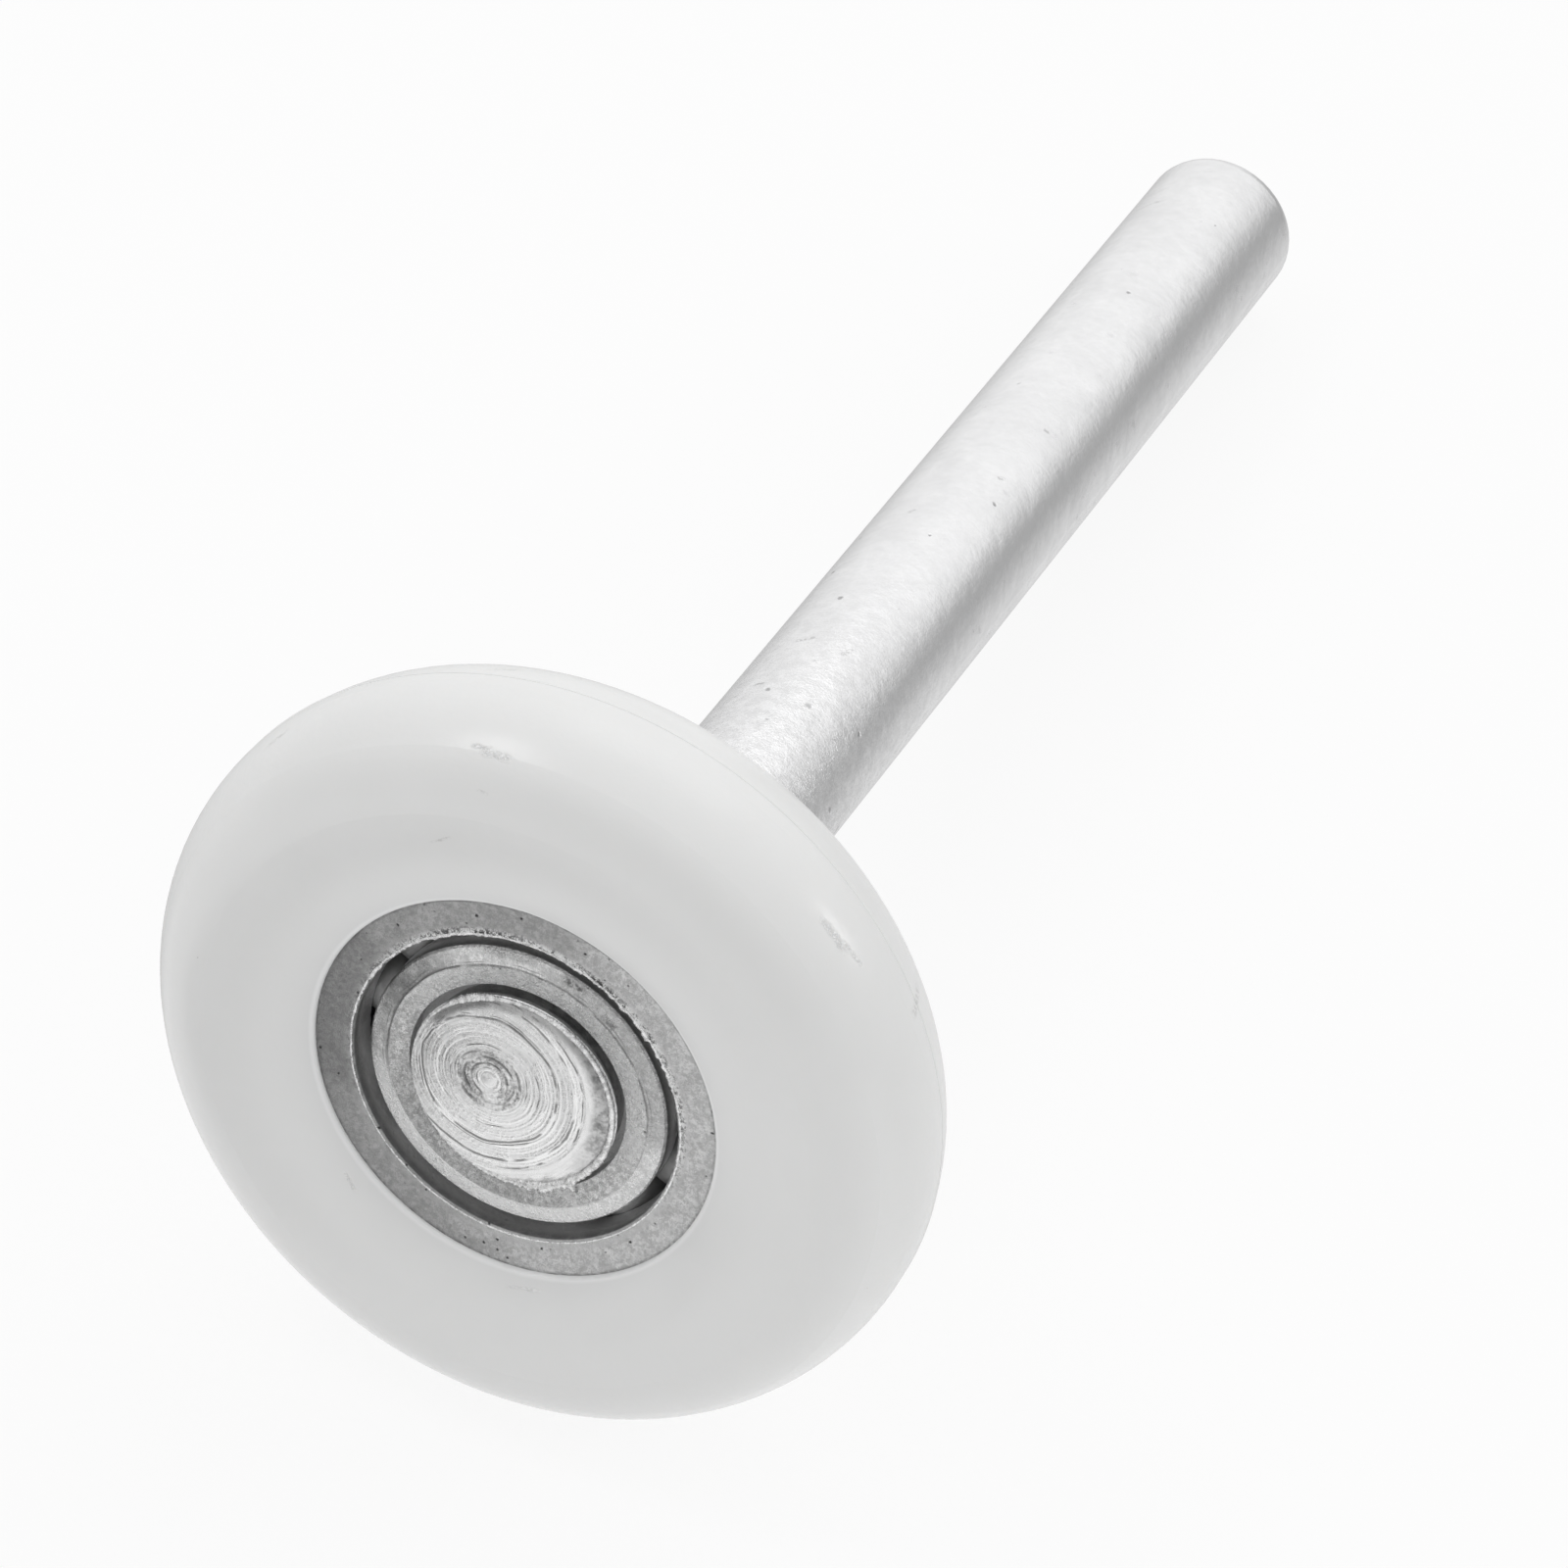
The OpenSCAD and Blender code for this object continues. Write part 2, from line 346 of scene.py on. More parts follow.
def start_material(name):
    """Empty node material: returns it, its builder, the shader and the place in millimetres."""
    material = bpy.data.materials.new(name)
    material.use_nodes = True
    material.node_tree.nodes.clear()
    n = Nodes(material.node_tree)
    shader = n.add("ShaderNodeBsdfPrincipled")
    out = n.add("ShaderNodeOutputMaterial")
    n.feed(out.inputs["Surface"], shader.outputs["BSDF"])
    place = n.scaled(n.add("ShaderNodeTexCoord").outputs["Object"], 1 / MM)
    return material, n, shader, place


def depth_of(n, place):
    """Distance from the wheel's plane in millimetres, the same on both sides."""
    return n.math("ABSOLUTE", n.split(place)["Y"])


def from_axis(n, place):
    """Distance from the Y axis in millimetres."""
    return n.vector("LENGTH", n.vector("MULTIPLY", place, (1.0, 0.0, 1.0)), out=1)


def side_mask(n, place, turn, reach_from, reach_to):
    """One side of a ring round the Y axis, by the angle of its middle and the reach of its ends."""
    side = n.group(SIDE, Place=place, Turn=turn, Reach_From=reach_from, Reach_To=reach_to)
    return side["Mask"]


def one_mark(n, place, at, along, length, width):
    """A rubbed mark at a place, by its direction, half length and width."""
    return n.group(SCUFF, Place=place, At=at, Along=along, Length=length, Width=width)["Mask"]


def all_marks(n, place, marks):
    """Rubbed marks together, each given as for one_mark and then its strength."""
    total = 0.0
    for *mark, strength in marks:
        total = n.most(total, n.times(one_mark(n, place, *mark), strength))
    return total


def ring_lines(n, place, rings, lines):
    """Dark lines together, each by its radius, width and how broken it is."""
    total = 0.0
    for at, width, broken in lines:
        line = n.group(
            RING_LINE, Place=place, Radius=rings["Radius"], At=at, Width=width, Broken=broken
        )
        total = n.most(total, line["Mask"])
    return total


def bump(n, height, distance_mm, normal=None):
    """Bump over the normal of the bump before it."""
    inputs = {"Height": height, "Distance": distance_mm * MM, "Strength": 1.0}
    node = n.add("ShaderNodeBump", inputs)
    if normal is not None:
        n.feed(node.inputs["Normal"], normal)
    return node.outputs["Normal"]


def grey(level):
    return (level, level, level, 1.0)


def film_over(n, mask, deep):
    """How much grease hides the metal: none in the deep groove, which runs clean."""
    return n.times(mask, n.minus(0.85, n.times(deep, 0.85)))


# Marks in millimetres, each by its place, direction, half length, width and strength
# Light marks on the nylon: the first two are scuffs with a painted glint, the other four are
# painted highlights on the upper shoulders
NYLON_RUBS_AND_HIGHLIGHTS = (
    ((2.3, -5.3, -13.9), (2.44, 0.07, 0.58), 1.5, 0.16, 1.0),
    ((-9.6, -5.4, -10.7), (0.83, 0.0, -0.9), 0.9, 0.16, 1.0),
    ((-3.4, -4.68, 23.2), (1.9, -0.1, 0.24), 1.3, 0.35, 1.0),
    ((-4.4, -4.4, 23.2), (1.9, 0.1, 0.3), 0.9, 0.2, 1.0),
    ((17.5, -2.3, 17.35), (1.0, 0.05, -1.0), 1.7, 0.35, 1.0),
    ((18.6, -1.9, 16.2), (1.0, 0.1, -1.0), 1.2, 0.2, 1.0),
)
NYLON_DIRT = (
    ((-3.4, -6.08, 21.5), (0.44, -0.03, 0.01), 0.45, 0.13, 0.35),
    ((-5.5, -6.4, 17.4), (1.14, -0.05, 0.86), 0.9, 0.14, 0.30),
    ((21.8, 1.4, 12.0), (-0.3, 1.0, 0.3), 1.5, 0.45, 0.30),
    ((24.3, 2.2, -5.2), (0.0, 1.0, 0.4), 1.2, 0.4, 0.30),
    ((-18.5, -1.8, 16.5), (0.6, 0.3, 0.6), 1.2, 0.35, 0.25),
    ((-6.0, 2.5, 24.0), (1.0, 0.4, 0.3), 1.6, 0.4, 0.25),
    ((8.0, 5.6, -19.0), (1.0, 0.0, 0.5), 1.8, 0.2, 0.25),
    ((-15.0, 6.0, 9.0), (0.3, 0.0, 1.0), 1.4, 0.2, 0.25),
)
STEM_SPOTS = (
    ((-1.7, 40.0, 5.2), (1.0, 0.6, 0.3), 0.9, 0.25, 0.35),
    ((-2.3, 34.2, 5.0), (1.0, 0.2, 0.2), 0.4, 0.25, 0.50),
    ((-3.0, 103.0, 4.6), (1.0, 0.5, 1.0), 1.6, 0.30, 0.22),
    ((1.2, 39.9, 5.35), (0.3, 1.0, 0.0), 0.8, 0.3, 0.3),
    ((-1.7, 57.1, 5.2), (1.0, 1.0, 0.3), 0.35, 0.22, 0.40),
    ((1.7, 64.0, 5.2), (1.0, 1.0, 0.0), 0.4, 0.25, 0.30),
    ((2.1, 71.1, 5.1), (1.0, 0.0, 0.0), 0.3, 0.22, 0.35),
    ((-2.0, 80.0, -5.1), (0.3, 1.0, 0.0), 2.5, 0.2, 0.30),
)

# Dark lines on the faced head in millimetres, each by its radius, width and how broken it is
FACING_LINES = (
    (0.45, 0.08, 0.65), (0.80, 0.07, 0.60), (1.15, 0.10, 0.50), (1.60, 0.13, 0.35),
    (2.05, 0.13, 0.50), (2.5, 0.06, 0.6), (3.3, 0.06, 0.7), (3.85, 0.06, 0.75),
    (4.45, 0.11, 0.25), (4.65, 0.05, 0.5), (5.65, 0.11, 0.3), (6.15, 0.08, 0.6),
)

# Ridges on it in millimetres, each by its radius, width, height and the seed of its breaks
FACING_RIDGES = (
    (0.62, 0.10, 0.035, 11), (0.98, 0.09, 0.045, 12), (1.32, 0.10, 0.035, 13),
    (1.72, 0.11, 0.040, 14), (2.15, 0.12, 0.030, 15), (3.05, 0.12, 0.014, 16),
    (3.55, 0.10, 0.012, 17), (4.35, 0.13, 0.034, 18), (4.62, 0.09, 0.022, 19),
    (5.55, 0.14, 0.034, 20), (5.85, 0.10, 0.018, 21),
)


# ---------------------------------------------------------------- materials
def make_nylon():
    """White moulded nylon, lightly handled: soft gloss, faint flow marks, specks and scuffs, with
    painted highlights along the lip and on the shoulders.
    """
    material, n, shader, place = start_material("white_nylon")
    haze = n.group(BLOTCHES, Place=place, Size=11.0, Contrast=0.0, Grain=0.15)
    specks = n.group(PITS, Place=place, Spacing=2.6, Share=0.25, Size=0.03)
    marks = n.group(SCRATCHES, Place=place, Spacing=7.0, Share=0.3, Width=0.05)
    skin = n.mix(haze["Mask"], (0.835, 0.837, 0.832, 1), (0.862, 0.864, 0.860, 1))
    # A thin band along the lip is lighter: painted highlight
    lip = n.spread(from_axis(n, place), LIP_MM + 0.4, LIP_MM + 0.15)
    skin = n.cover(skin, (0.96, 0.962, 0.96, 1), lip)
    # Scuffs with painted glints, and painted highlights on the shoulders, near white
    rubbed = all_marks(n, place, NYLON_RUBS_AND_HIGHLIGHTS)
    skin = n.cover(skin, (0.98, 0.98, 0.98, 1), rubbed, 0.9)
    dirt = n.most(n.times(specks["Mask"], 0.5), n.times(marks["Mask"], 0.16))
    dirt = n.most(dirt, all_marks(n, place, NYLON_DIRT))
    n.feed(shader.inputs["Base Color"], n.mix(dirt, skin, (0.30, 0.29, 0.28, 1)))
    dull = n.spread(haze["Mask"], 0.0, 1.0, 0.21, 0.27)
    n.feed(shader.inputs["Roughness"], n.plus(dull, n.times(marks["Mask"], 0.2)))
    ripple = bump(n, haze["Height"], 0.02)
    ripple = bump(n, n.noise(place, 2.2, detail=3.0), 0.010, normal=ripple)
    ripple = bump(n, rubbed, 0.05, normal=ripple)
    n.feed(shader.inputs["Normal"], bump(n, marks["Depth"], 0.01, normal=ripple))
    shader.inputs["IOR"].default_value = 1.53
    shader.inputs["Subsurface Weight"].default_value = 0.2
    shader.inputs["Subsurface Radius"].default_value = (1.0, 0.95, 0.9)
    shader.inputs["Subsurface Scale"].default_value = 1.2 * MM
    return material


def make_race_steel():
    """Steel of the outer race: dull granular face, fine pits and scratches, greasy bore, painted
    shade on its left side.
    """
    material, n, shader, place = start_material("race_steel")
    depth = depth_of(n, place)
    patches = n.group(BLOTCHES, Place=place, Size=1.6, Contrast=0.3, Grain=1.1)
    grit = n.group(BLOTCHES, Place=place, Size=0.34, Contrast=0.85, Grain=1.2)
    pits = n.group(PITS, Place=place, Spacing=0.7, Share=0.34, Size=0.19)
    marks = n.group(SCRATCHES, Place=place, Spacing=1.6, Share=0.6, Width=0.03)
    rings = n.group(TURNING, Place=place, Pitch=0.16, Waver=0.3)
    bore = n.group(
        GRIME_AND_PAINTED_SHADING, Place=place, Depth=depth,
        Radius_From=BORE_EDGE_MM - 0.03, Radius_To=BORE_EDGE_MM - 0.11,
        Depth_From=RACE_FACE_MM - 0.05, Depth_To=RACE_FACE_MM - 0.15,
    )
    # The left side of the face is darker: painted shade
    painted_shade_left = side_mask(n, place, 170.0, -0.38, 0.12)
    painted_shade_side = side_mask(n, place, 172.0, 0.7, 1.0)
    face = n.mix(patches["Mask"], grey(0.66), grey(0.84))
    face = n.cover(face, grey(0.36), grit["Mask"], 0.55)
    face = n.cover(face, grey(0.66), rings["Mask"], 0.25)
    face = n.cover(face, grey(0.78), marks["Mask"], 0.5)
    face = n.cover(face, grey(0.11), painted_shade_left, 0.38)
    face = n.cover(face, grey(0.08), painted_shade_side, 0.38)
    torn = side_mask(n, place, 70.0, -0.3, 0.8)
    by_bore = n.spread(rings["Radius"], BORE_EDGE_MM + 0.83, BORE_EDGE_MM + 0.13)
    near_bore = n.times(by_bore, n.plus(0.35, torn))
    scraped = n.times(near_bore, n.spread(grit["Height"], 0.48, 0.56))
    dents = n.times(near_bore, n.spread(grit["Height"], 0.46, 0.38))
    face = n.cover(face, grey(0.98), scraped, 0.7)
    face = n.cover(face, grey(0.07), dents, 0.7)
    gouge = one_mark(n, place, (4.9, -RACE_FACE_MM, 9.75), (0.9, 0.0, -0.45), 1.6, 0.3)
    face = n.cover(face, grey(0.07), n.most(pits["Mask"], gouge))
    # Dirt along the nylon's lip
    rim = n.spread(rings["Radius"], LIP_MM - 0.25, LIP_MM - 0.02)
    face = n.cover(face, grey(0.12), rim, n.spread(patches["Height"], 0.3, 0.6), 0.6)
    deep = n.spread(depth, 4.3, 3.2)
    grease = n.mix(deep, grey(0.16), grey(0.95))
    n.feed(shader.inputs["Base Color"], n.mix(bore["Mask"], face, grease))
    dull = n.spread(patches["Mask"], 0.0, 1.0, 0.44, 0.32)
    n.feed(shader.inputs["Roughness"], dull)
    n.feed(shader.inputs["Metallic"], n.minus(1.0, film_over(n, bore["Mask"], deep)))
    grain = bump(n, grit["Height"], 0.07)
    grain = bump(n, rings["Height"], 0.010, normal=grain)
    grain = bump(n, marks["Depth"], 0.015, normal=grain)
    n.feed(shader.inputs["Normal"], bump(n, pits["Depth"], 0.05, normal=grain))
    return material


def make_inner_steel():
    """Steel of the inner races: granular inner band, scraped outer band, grease in the gap, painted
    light and shade round both bands, a painted highlight at the top and a plain white socket.
    """
    material, n, shader, place = start_material("inner_race_steel")
    depth = depth_of(n, place)
    patches = n.group(BLOTCHES, Place=place, Size=0.9, Contrast=0.4, Grain=1.2)
    grit = n.group(BLOTCHES, Place=place, Size=0.32, Contrast=0.85, Grain=1.2)
    pits = n.group(PITS, Place=place, Spacing=0.42, Share=0.34, Size=0.16)
    marks = n.group(SCRATCHES, Place=place, Spacing=1.8, Share=0.5, Width=0.03)
    rings = n.group(TURNING, Place=place, Pitch=0.30, Waver=0.35)
    socket = n.group(
        GRIME_AND_PAINTED_SHADING, Place=place, Depth=depth,
        Radius_From=SOCKET_MM + 0.1, Radius_To=SOCKET_MM - 0.02, Depth_From=4.22, Depth_To=4.1,
    )
    side = n.group(
        GRIME_AND_PAINTED_SHADING, Place=place, Depth=depth,
        Radius_From=CONE_EDGE_MM - 0.08, Radius_To=CONE_EDGE_MM - 0.01,
        Depth_From=4.1, Depth_To=3.95,
    )
    inner = n.spread(rings["Radius"], CREASE_MM + 0.05, CREASE_MM - 0.1)
    coarse = n.plus(n.times(inner, 0.5), 0.5)
    face = n.mix(patches["Mask"], grey(0.80), grey(1.0))
    face = n.cover(face, grey(0.34), grit["Mask"], coarse, 0.75)
    face = n.cover(face, grey(0.85), rings["Mask"], 0.30)
    face = n.cover(face, grey(0.95), marks["Mask"], 0.5)
    # The outer band is lighter below and darker above right and above left: painted light and shade
    outer = n.minus(1.0, inner)
    painted_light_below = side_mask(n, place, 255.0, 0.25, 0.85)
    painted_shade_upper_right = side_mask(n, place, 35.0, 0.6, 0.85)
    painted_shade_side = side_mask(n, place, 156.0, 0.80, 1.0)
    face = n.cover(face, grey(1.0), outer, painted_light_below, 0.88)
    face = n.cover(face, grey(0.12), outer, painted_shade_upper_right, 0.38)
    face = n.cover(face, grey(0.10), outer, painted_shade_side, 0.80)
    # The inner band is lighter on the upper right and darker on the lower left: painted light and
    # shade
    bright = side_mask(n, place, 66.0, -0.25, 0.4)
    shaded = side_mask(n, place, 245.0, 0.3, 0.95)
    face = n.cover(face, grey(0.12), inner, shaded, 0.30)
    speckled = n.mix(grit["Mask"], grey(1.0), grey(0.82))
    face = n.cover(face, speckled, inner, bright, 0.85)
    # A scrape along the top of the cone's edge, with a painted highlight: white and barely metallic
    # there
    scrape_and_highlight = one_mark(n, place, (-1.2, -4.23, 9.25), (0.99, 0.0, 0.12), 2.4, 0.45)
    glint = one_mark(n, place, (-0.2, -4.21, 9.45), (1.0, 0.0, 0.0), 1.2, 0.36)
    shine = n.most(n.times(scrape_and_highlight, 0.5), glint)
    face = n.cover(face, grey(1.0), shine)
    nick = one_mark(n, place, (5.3, -4.25, 7.1), (0.8, 0.0, -0.6), 0.8, 0.35)
    gouge = one_mark(n, place, (2.9, -4.2, 8.75), (0.93, 0.0, -0.36), 1.1, 0.36)
    cut = n.most(n.times(nick, 0.7), n.times(gouge, 0.85))
    dirty = n.times(pits["Mask"], coarse, 0.8)
    face = n.cover(face, grey(0.10), n.most(dirty, cut))
    above = side_mask(n, place, 105.0, -0.5, 0.3)
    dark = ring_lines(n, place, rings, ((CREASE_MM, 0.13, 0.15), (CREASE_MM + 0.25, 0.06, 0.6)))
    face = n.cover(face, grey(0.14), dark, above, 0.55)
    dirt = n.most(socket["Mask"], side["Mask"])
    deep = n.spread(depth, 4.0, 3.0)
    grease = n.mix(deep, grey(0.16), grey(0.95))
    # The socket channel is plain white and not metallic: painted light in its shade
    grease = n.cover(grease, grey(1.0), socket["Mask"])
    n.feed(shader.inputs["Base Color"], n.mix(dirt, face, grease))
    dull = n.spread(patches["Mask"], 0.0, 1.0, 0.36, 0.24)
    dull = n.minus(dull, n.times(scrape_and_highlight, 0.14))
    n.feed(shader.inputs["Roughness"], n.most(dull, n.times(dirt, 0.6)))
    film = n.most(film_over(n, dirt, deep), socket["Mask"], n.times(shine, 0.8))
    n.feed(shader.inputs["Metallic"], n.minus(1.0, film))
    grain = bump(n, n.times(grit["Height"], coarse), 0.08)
    grain = bump(n, patches["Height"], 0.06, normal=grain)
    grain = bump(n, rings["Height"], 0.02, normal=grain)
    grain = bump(n, marks["Depth"], 0.02, normal=grain)
    grain = bump(n, n.times(scrape_and_highlight, patches["Height"]), 0.16, normal=grain)
    n.feed(shader.inputs["Normal"], bump(n, n.times(pits["Depth"], coarse), 0.05, normal=grain))
    return material


def make_zinc():
    """Bright zinc plating over a rolled bar: cloudy, crystalline near the wheel, dark specks,
    painted shade on the head's rim.
    """
    material, n, shader, place = start_material("zinc_plate")
    clouds = n.group(BLOTCHES, Place=place, Size=4.0, Contrast=0.1, Grain=0.5)
    lumps = n.group(BLOTCHES, Place=place, Size=1.5, Contrast=0.3, Grain=0.3)
    crystals = n.group(BLOTCHES, Place=place, Size=0.8, Contrast=0.6, Grain=1.0)
    pits = n.group(PITS, Place=place, Spacing=2.0, Share=0.35, Size=0.10)
    stains = n.group(PITS, Place=place, Spacing=1.3, Share=0.22, Size=0.22)
    marks = n.group(SCRATCHES, Place=place, Spacing=5.0, Share=0.3, Width=0.06)
    along = n.split(place)["Y"]
    # The front of the head's rim is darkened: painted shade
    rim = n.group(
        GRIME_AND_PAINTED_SHADING, Place=place, Depth=n.times(along, -1.0),
        Radius_From=HEAD_R_MM - 0.4, Radius_To=HEAD_R_MM - 0.2, Depth_From=4.55, Depth_To=4.3,
    )
    front = n.math("LESS_THAN", along, 0.0)
    by_wheel = n.spread(along, 58.0, 24.0, 0.18, 1.0)
    plate = n.mix(clouds["Mask"], (0.87, 0.87, 0.875, 1), (0.96, 0.96, 0.965, 1))
    plate = n.cover(plate, (0.70, 0.70, 0.705, 1), lumps["Mask"], 0.14)
    plate = n.cover(plate, grey(0.48), crystals["Mask"], by_wheel, 0.26)
    dark = n.most(n.times(pits["Mask"], 0.55), n.times(marks["Mask"], 0.2))
    dark = n.most(dark, n.times(stains["Mask"], by_wheel, 0.45))
    dark = n.most(dark, all_marks(n, place, STEM_SPOTS))
    dark = n.most(dark, n.times(rim["Mask"], front, 0.9))
    n.feed(shader.inputs["Base Color"], n.mix(dark, plate, grey(0.14)))
    dull = n.spread(clouds["Mask"], 0.0, 1.0, 0.27, 0.19)
    n.feed(shader.inputs["Roughness"], n.plus(dull, n.times(stains["Mask"], 0.1)))
    shader.inputs["Metallic"].default_value = 1.0
    skin = bump(n, clouds["Height"], 0.05)
    skin = bump(n, lumps["Height"], 0.03, normal=skin)
    skin = bump(n, n.times(crystals["Height"], by_wheel), 0.035, normal=skin)
    n.feed(shader.inputs["Normal"], bump(n, pits["Depth"], 0.03, normal=skin))
    return material


def make_faced_zinc():
    """Head of the stem: burnished rings round the facing centre, dull where no tool reached, with
    painted light on its lower side and painted shade along its upper and left edge.
    """
    material, n, shader, place = start_material("faced_zinc")
    rings = n.group(
        TURNING, Place=place, Centre_X=FACED_X_MM, Centre_Z=FACED_Z_MM, Pitch=0.16, Waver=0.6
    )
    wide = n.group(
        TURNING, Place=place, Centre_X=FACED_X_MM + 0.1, Centre_Z=FACED_Z_MM - 0.1,
        Pitch=0.75, Waver=1.1,
    )
    patches = n.group(BLOTCHES, Place=place, Size=1.2, Contrast=0.4, Grain=0.9)
    pits = n.group(PITS, Place=place, Spacing=0.8, Share=0.25, Size=0.10)
    face = n.mix(wide["Mask"], grey(0.84), grey(0.97))
    # The lower side of the facing has fewer turning marks, and its colour is lighter there: painted
    # light
    lower = side_mask(n, place, 265.0, -0.3, 0.55)
    reach = n.times(n.spread(rings["Radius"], 2.0, 3.0), n.spread(rings["Radius"], 6.7, 5.5))
    smooth = n.times(lower, reach)
    marked = n.minus(1.0, n.times(smooth, 0.75))
    face = n.cover(face, grey(1.0), smooth, 0.7)
    face = n.cover(face, grey(0.68), rings["Mask"], 0.40, marked)
    core = n.times(n.spread(rings["Radius"], 0.7, 1.2), n.spread(rings["Radius"], 2.5, 1.9))
    face = n.cover(face, grey(0.26), core, patches["Mask"], 0.85)
    dark = ring_lines(n, place, rings, FACING_LINES)
    face = n.cover(face, grey(0.20), dark, 0.85)
    # Outside the facing the head is rougher on the upper right; its colour is darker there and
    # along its upper and left edge: painted shade
    middle = from_axis(n, place)
    upper = side_mask(n, place, 52.0, -0.35, 0.7)
    skirt = n.times(n.spread(rings["Radius"], 6.4, 7.2), upper)
    face = n.cover(face, n.mix(patches["Mask"], grey(0.18), grey(0.56)), skirt, 0.95)
    left = side_mask(n, place, 122.0, 0.80, 1.0)
    edge = n.times(n.spread(middle, 5.7, 6.2), left)
    face = n.cover(face, grey(0.12), edge, 0.75)
    above = side_mask(n, place, 68.0, 0.45, 0.9)
    shoulder = n.times(n.spread(middle, 5.5, 6.1), above)
    face = n.cover(face, grey(0.12), shoulder, 0.5)
    n.feed(shader.inputs["Base Color"], n.mix(n.times(pits["Mask"], 0.5), face, grey(0.15)))
    dull = n.spread(patches["Mask"], 0.0, 1.0, 0.32, 0.22)
    n.feed(shader.inputs["Roughness"], n.plus(dull, n.times(skirt, 0.12)))
    shader.inputs["Metallic"].default_value = 1.0
    skin = bump(n, n.times(rings["Height"], marked), 0.03)
    skin = bump(n, n.times(wide["Height"], marked), 0.05, normal=skin)
    skin = bump(n, n.times(dark, -1.0), 0.05, normal=skin)
    n.feed(shader.inputs["Normal"], bump(n, patches["Height"], 0.02, normal=skin))
    return material


def make_burr_steel():
    """Torn bright edge of a machined or riveted piece."""
    material, n, shader, place = start_material("burr_steel")
    patches = n.group(BLOTCHES, Place=place, Size=0.3, Contrast=0.7, Grain=0.6)
    n.feed(shader.inputs["Base Color"], n.mix(patches["Mask"], grey(1.0), grey(0.60)))
    n.feed(shader.inputs["Roughness"], n.spread(patches["Mask"], 0.0, 1.0, 0.34, 0.18))
    shader.inputs["Metallic"].default_value = 1.0
    n.feed(shader.inputs["Normal"], bump(n, patches["Height"], 0.05))
    return material


def make_ball_steel():
    """Steel balls, filmed over with old grease."""
    material, n, shader, place = start_material("ball_steel")
    film = n.group(BLOTCHES, Place=place, Size=1.6, Contrast=0.3, Grain=0.4)
    n.feed(shader.inputs["Base Color"], n.mix(film["Mask"], grey(0.34), grey(0.50)))
    n.feed(shader.inputs["Roughness"], n.spread(film["Mask"], 0.0, 1.0, 0.5, 0.35))
    n.feed(shader.inputs["Metallic"], n.spread(film["Mask"], 0.0, 1.0, 0.25, 0.45))
    n.feed(shader.inputs["Normal"], bump(n, film["Height"], 0.01))
    return material


def make_floor_white():
    """Studio floor: white with a soft shadow, graded in reflections, and clear from below."""
    material = bpy.data.materials.new("studio_floor")
    material.use_nodes = True
    material.node_tree.nodes.clear()
    n = Nodes(material.node_tree)
    out = n.add("ShaderNodeOutputMaterial")
    paper = n.add("ShaderNodeBsdfDiffuse", {"Color": grey(0.92)})
    sheet = n.add("ShaderNodeBsdfTranslucent", {"Color": grey(0.92)})
    paper = n.blend(0.4, paper, sheet)
    white = n.add("ShaderNodeEmission", {"Color": grey(1.0), "Strength": 1.0})
    rays = n.add("ShaderNodeLightPath").outputs
    seen = n.most(rays["Is Camera Ray"], rays["Is Transmission Ray"])
    reach = n.vector("LENGTH", n.add("ShaderNodeTexCoord").outputs["Object"], out=1)
    share = n.times(seen, n.spread(reach, 0.10, 0.45, FLOOR_WHITE, 1.0))
    top = n.blend(share, paper, white)
    # In reflections it is a lit table: shaded on the far right and close in front on the left
    low = n.add("ShaderNodeLayerWeight", {"Blend": 0.5}).outputs["Facing"]
    spot = n.scaled(n.add("ShaderNodeTexCoord").outputs["Object"], 1 / MM)
    side = n.split(spot)
    right = n.spread(side["X"], -10.0, 10.0)
    left_glow = n.spread(low, 0.36, 0.95, 0.54, 0.90, smooth=False)
    right_glow = n.spread(low, 0.26, 0.82, 0.80, 0.40, smooth=False)
    behind = n.plus(left_glow, n.times(right, n.minus(right_glow, left_glow)))
    pool = n.vector("LENGTH", n.vector("SUBTRACT", spot, (-37.0, -87.0, 0.0)), out=1)
    ahead = n.spread(pool, 13.0, 31.0, 0.08, 0.97)
    front = n.spread(side["Y"], -28.0, -41.0)
    shine = n.plus(behind, n.times(front, n.minus(ahead, behind)))
    glow = n.add("ShaderNodeEmission", {"Color": grey(1.0), "Strength": shine})
    top = n.blend(rays["Is Glossy Ray"], top, glow)
    clear = n.add("ShaderNodeBsdfTransparent")
    below = n.add("ShaderNodeNewGeometry").outputs["Backfacing"]
    face = n.blend(below, top, clear)
    n.feed(out.inputs["Surface"], face.outputs[0])
    return material


# ---------------------------------------------------------------- studio
def make_floor():
    """Square floor, turned under the roller so that the rim and the tail lie on it."""
    half = FLOOR_SIZE / 2
    corners = [(-half, -half, 0), (half, -half, 0), (half, half, 0), (-half, half, 0)]
    mesh = bpy.data.meshes.new("studio_floor")
    mesh.from_pydata(corners, [], [(0, 1, 2, 3)])
    floor = bpy.data.objects.new("studio_floor", mesh)
    bpy.context.scene.collection.objects.link(floor)
    middle = Vector((0, STEM_LEN * FLOOR_MIDDLE, 0))
    rim = -FLOOR_UP * rim_reach()
    floor.location = middle + FLOOR_UP * (rim - middle).dot(FLOOR_UP)
    floor.rotation_mode = "QUATERNION"
    floor.rotation_quaternion = Vector((0, 0, 1)).rotation_difference(FLOOR_UP)
    mesh.materials.append(make_floor_white())
    return floor


def rim_reach():
    """How far the tyre and the stem reach down towards the floor from the wheel's centre."""
    reach = 0.0
    for name in ("tyre", "stem"):
        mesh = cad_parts[name].data
        places = np.empty(len(mesh.vertices) * 3)
        mesh.vertices.foreach_get("co", places)
        reach = max(reach, float((places.reshape(-1, 3) @ -np.array(FLOOR_UP)).max()))
    return reach


